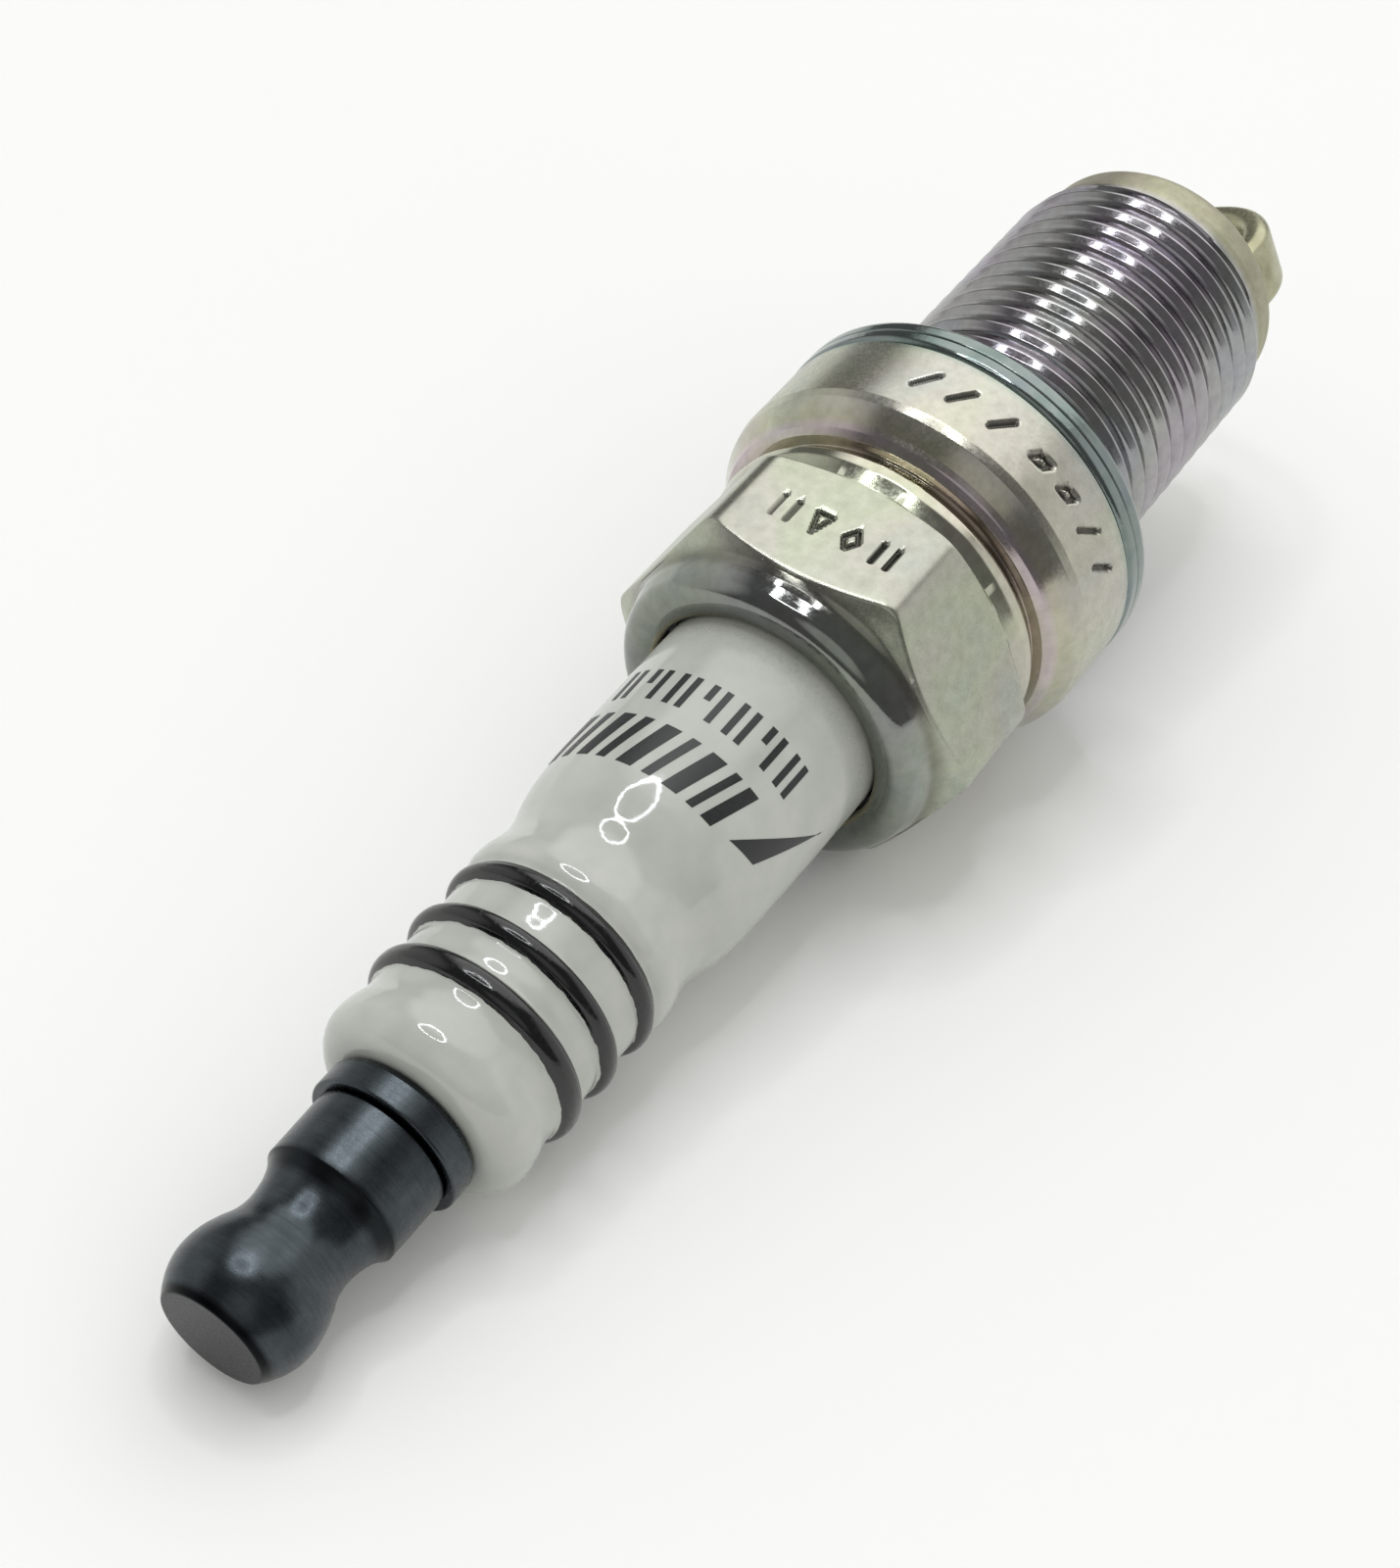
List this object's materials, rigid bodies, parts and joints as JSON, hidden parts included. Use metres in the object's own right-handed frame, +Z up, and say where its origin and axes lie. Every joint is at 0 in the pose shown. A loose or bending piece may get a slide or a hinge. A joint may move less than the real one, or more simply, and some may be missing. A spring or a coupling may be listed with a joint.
{
  "type": "spark plug",
  "caption": "Spark plug with a threaded plated steel shell, hexagon, folded seat gasket, ribbed glazed insulator, screw-on terminal nut and a single bent ground electrode.",
  "frame": {"origin": "bottom centre of the bounding box, on the surface the plug lies on", "axes": "+X towards the firing end, +Z up, +Y to the left seen from the terminal end; the plug's own axis rises 7.6 degrees from the terminal towards the firing end, because it rests on its collar and its last rib"},
  "size_m": [0.076, 0.019, 0.0195],
  "materials": {
    "shell": "satin",
    "ground_electrode": "satin",
    "seat_gasket": "satin",
    "insulator": "gloss",
    "lower_packing_washer": "satin",
    "lower_packing_ring": "satin",
    "talc_fill": "matte",
    "upper_packing_ring": "satin",
    "terminal_nut": "satin",
    "terminal_stud": "satin",
    "upper_glass_seal": "satin",
    "resistor": "matte",
    "lower_glass_seal": "satin",
    "center_electrode": "satin",
    "center_electrode_core": "satin",
    "iridium_tip": "polished"
  },
  "bodies": {
    "plug": {"shell": "shell", "ground_electrode": "ground_electrode", "insulator": "insulator", "lower_packing_washer": "lower_packing_washer", "lower_packing_ring": "lower_packing_ring", "talc_fill": "talc_fill", "upper_packing_ring": "upper_packing_ring", "terminal_stud": "terminal_stud", "upper_glass_seal": "upper_glass_seal", "resistor": "resistor", "lower_glass_seal": "lower_glass_seal", "center_electrode": "center_electrode", "center_electrode_core": "center_electrode_core", "iridium_tip": "iridium_tip"},
    "gasket": {"seat_gasket": "seat_gasket"},
    "terminal": {"terminal_nut": "terminal_nut"}
  },
  "joints": [
    {"name": "gasket_spin", "type": "hinge", "parent": "plug", "child": "gasket", "pos_m": [0.01486, 0, 0.01013], "axis": [0.9912, 0, 0.1322], "continuous": true},
    {"name": "terminal_nut_travel", "type": "slide", "parent": "plug", "child": "terminal", "axis": [-0.9912, 0, -0.1322], "range_m": [0, 0.0065]}
  ]
}
